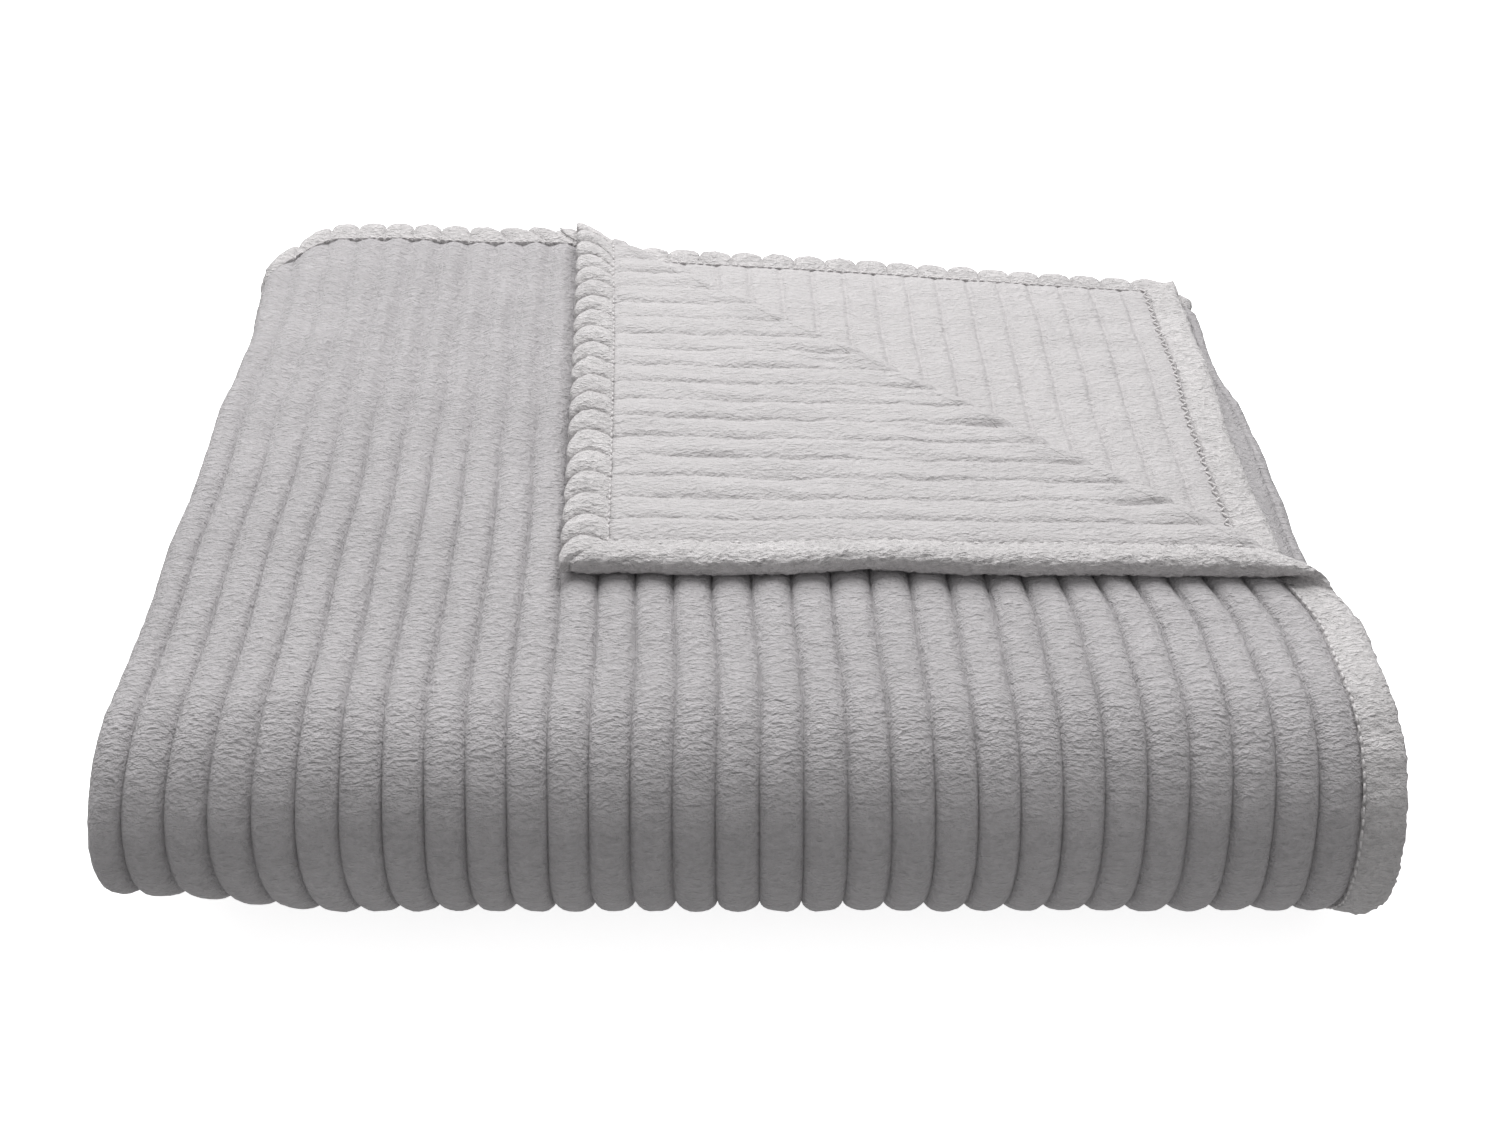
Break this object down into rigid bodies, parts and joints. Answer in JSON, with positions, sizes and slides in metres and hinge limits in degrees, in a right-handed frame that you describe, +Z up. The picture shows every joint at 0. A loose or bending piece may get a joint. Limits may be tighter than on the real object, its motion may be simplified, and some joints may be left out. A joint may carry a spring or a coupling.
{
  "type": "folded throw blanket",
  "caption": "Soft ribbed plush throw folded into a thick rectangular pile, with a rounded front fold and one corner of the top layer turned back.",
  "frame": {"origin": "on the surface it lies on, under the middle of the folded pile", "axes": "+X to the right across the ribs, +Y along the ribs from the rounded front fold to the hems at the back, +Z up"},
  "size_m": [0.388, 0.334, 0.0833],
  "materials": {
    "face_plush": "ribbed plush pile, cool grey, matt with a soft sheen",
    "reverse_plush": "smoother brushed reverse, paler grey, matt",
    "hem_plush": "turned and stitched plush edge, grey, fluffy",
    "stitching": "grey sewing thread sunk in the pile"
  },
  "bodies": {
    "pile": {"back_roll_left_folds": "face_plush", "back_roll_panel_a": "face_plush", "back_roll_panel_b": "face_plush", "back_roll_panel_c": "face_plush", "back_roll_panel_d": "face_plush", "back_roll_right_fold": "face_plush", "bottom_leaf_left_folds": "face_plush", "bottom_leaf_panel_a": "face_plush", "bottom_leaf_panel_b": "face_plush", "bottom_leaf_panel_c": "face_plush", "bottom_leaf_panel_d": "face_plush", "bottom_leaf_right_fold": "face_plush", "front_roll_left_folds": "face_plush", "front_roll_panel_a": "face_plush", "front_roll_panel_b": "face_plush", "front_roll_panel_c": "face_plush", "front_roll_panel_d": "face_plush", "front_roll_right_fold": "face_plush", "front_roll_side_hems": "hem_plush", "front_roll_side_stitches": "stitching", "inner_roll_left_folds": "face_plush", "inner_roll_panel_a": "face_plush", "inner_roll_panel_b": "face_plush", "inner_roll_panel_c": "face_plush", "inner_roll_panel_d": "face_plush", "inner_roll_right_fold": "face_plush", "second_leaf_left_folds": "face_plush", "second_leaf_panel_a": "face_plush", "second_leaf_panel_b": "face_plush", "second_leaf_panel_c": "face_plush", "second_leaf_panel_d": "face_plush", "second_leaf_right_fold": "face_plush", "third_leaf_left_folds": "face_plush", "third_leaf_panel_a": "face_plush", "third_leaf_panel_b": "face_plush", "third_leaf_panel_c": "face_plush", "third_leaf_panel_d": "face_plush", "third_leaf_right_fold": "face_plush"},
    "top_leaf": {"panel_a_back_hem": "hem_plush", "panel_a_back_stitches": "stitching", "panel_a_side_hem": "hem_plush", "panel_a_side_stitches": "stitching", "panel_b_back_hem": "hem_plush", "panel_b_back_stitches": "stitching", "panel_b_side_hem": "hem_plush", "panel_b_side_stitches": "stitching", "top_leaf_left_folds": "face_plush", "top_leaf_panel_a": "face_plush", "top_leaf_panel_b": "reverse_plush", "top_leaf_panel_c": "face_plush", "top_leaf_panel_d": "face_plush", "top_leaf_right_fold": "face_plush"},
    "corner_flap": {"corner_flap": "reverse_plush", "corner_fold": "face_plush", "flap_back_hem": "hem_plush", "flap_back_stitches": "stitching", "flap_side_hem": "hem_plush", "flap_side_stitches": "stitching"}
  },
  "joints": [
    {"name": "last_fold", "type": "hinge", "parent": "pile", "child": "top_leaf", "pos_m": [0, -0.17409, 0.04163], "axis": [1, 0, 0], "range_deg": [0, 179.5], "deforming": ["front_roll_left_folds", "front_roll_panel_a", "front_roll_panel_b", "front_roll_panel_c", "front_roll_panel_d", "front_roll_right_fold", "front_roll_side_hems", "front_roll_side_stitches"]},
    {"name": "corner_fold_line", "type": "hinge", "parent": "top_leaf", "child": "corner_flap", "pos_m": [0.066, 0.047, 0.078], "axis": [-0.7071, 0.7071, 0], "range_deg": [0, 179.5], "deforming": ["corner_fold"]}
  ]
}
